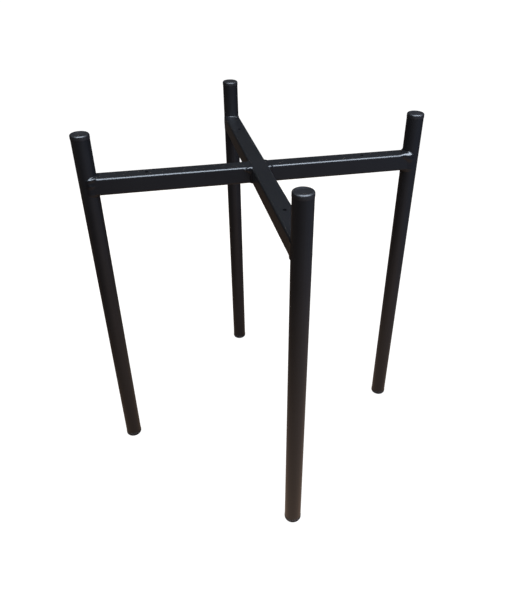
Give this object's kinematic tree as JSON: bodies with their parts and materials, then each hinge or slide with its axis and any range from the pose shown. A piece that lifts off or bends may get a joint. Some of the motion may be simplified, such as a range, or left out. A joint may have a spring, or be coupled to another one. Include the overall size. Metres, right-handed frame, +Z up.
{
  "type": "plant stand",
  "caption": "Open welded steel stand: upright round legs joined by a cross of square tube, whose flush top carries a flower pot between the leg tops.",
  "frame": {"origin": "on the floor, at the middle of the stand, under the crossing of the bars", "axes": "+Z up along the legs; X runs through the left and right legs, along the two half bars; Y runs through the front and back legs, along the through bar"},
  "size_m": [0.3794, 0.3794, 0.42],
  "materials": {
    "powder_coat": "satin",
    "coated_weld": "semi-gloss",
    "plug_plastic": "satin"
  },
  "bodies": {
    "root": {"through_bar": "powder_coat", "half_bar_left": "powder_coat", "half_bar_right": "powder_coat", "leg_left": "powder_coat", "leg_right": "powder_coat", "leg_front": "powder_coat", "leg_back": "powder_coat", "leg_weld_left": "coated_weld", "leg_weld_right": "coated_weld", "leg_weld_front": "coated_weld", "leg_weld_back": "coated_weld", "middle_weld_left": "coated_weld", "middle_weld_right": "coated_weld", "top_plug_left": "plug_plastic", "top_plug_right": "plug_plastic", "top_plug_front": "plug_plastic", "top_plug_back": "plug_plastic", "foot_plug_left": "plug_plastic", "foot_plug_right": "plug_plastic", "foot_plug_front": "plug_plastic", "foot_plug_back": "plug_plastic"}
  },
  "joints": []
}
